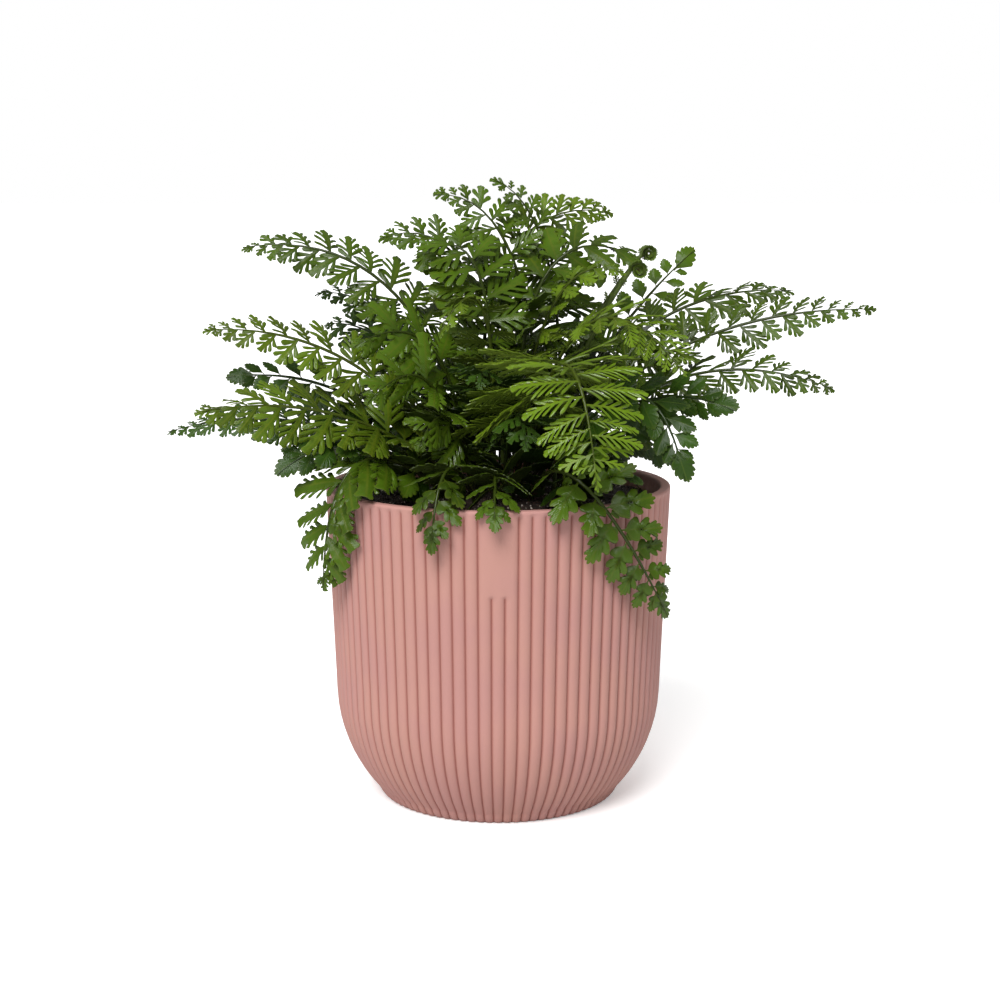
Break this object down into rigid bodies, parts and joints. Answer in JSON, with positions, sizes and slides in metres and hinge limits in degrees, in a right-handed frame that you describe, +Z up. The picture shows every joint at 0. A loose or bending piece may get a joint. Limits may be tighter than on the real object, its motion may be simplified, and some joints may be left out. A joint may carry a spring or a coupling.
{
  "type": "potted fern",
  "caption": "Finely cut leathery fern with arching and trailing fronds, planted in soil in a ribbed round pot that stands on a flat foot.",
  "frame": {"origin": "centre of the pot's flat underside, on the pot's axis", "axes": "+Z up along the pot's axis, -Y towards the viewer and the plain band on the wall, +X to the viewer's right"},
  "size_m": [0.2883, 0.2035, 0.2531],
  "materials": {
    "pot": "matte",
    "soil": "matte",
    "frond_lime": "satin",
    "frond_green": "satin",
    "frond_dark": "satin",
    "frond_young": "satin"
  },
  "bodies": {
    "root": {"pot": "pot", "soil": "soil", "frond_trail_right": "frond_green", "frond_trail_left": "frond_green", "frond_rim_front": "frond_green", "frond_rim_left": "frond_green", "frond_rim_right": "frond_dark", "frond_low_left": "frond_dark", "frond_face_right": "frond_lime", "frond_face_left": "frond_lime", "frond_far_left": "frond_dark", "frond_mid_left": "frond_dark", "frond_lace_left": "frond_lime", "frond_high_left": "frond_green", "frond_back_left_a": "frond_dark", "frond_back_left_b": "frond_dark", "frond_hand_left": "frond_green", "frond_arch_left_a": "frond_green", "frond_arch_left_b": "frond_green", "frond_fill_low": "frond_dark", "frond_fill_front": "frond_dark", "frond_drape_left": "frond_lime", "frond_arch_right": "frond_lime", "frond_low_right": "frond_dark", "frond_side_right": "frond_dark", "frond_mid_right": "frond_green", "frond_far_right": "frond_green", "frond_fill_right": "frond_lime", "frond_lace_right": "frond_green", "frond_back_right_low": "frond_dark", "frond_broad_right": "frond_green", "frond_top_right": "frond_green", "frond_top_left": "frond_green", "frond_crown_back": "frond_green", "frond_crown_left": "frond_green", "frond_crown_right": "frond_lime", "frond_crown_low": "frond_green", "frond_rear_a": "frond_green", "frond_rear_b": "frond_green", "frond_rear_c": "frond_green", "frond_rear_d": "frond_lime", "frond_rear_e": "frond_green", "frond_rear_f": "frond_dark", "frond_rear_g": "frond_green", "frond_rear_h": "frond_dark", "crozier_a": "frond_young", "crozier_b": "frond_young", "crozier_c": "frond_young"}
  },
  "joints": []
}
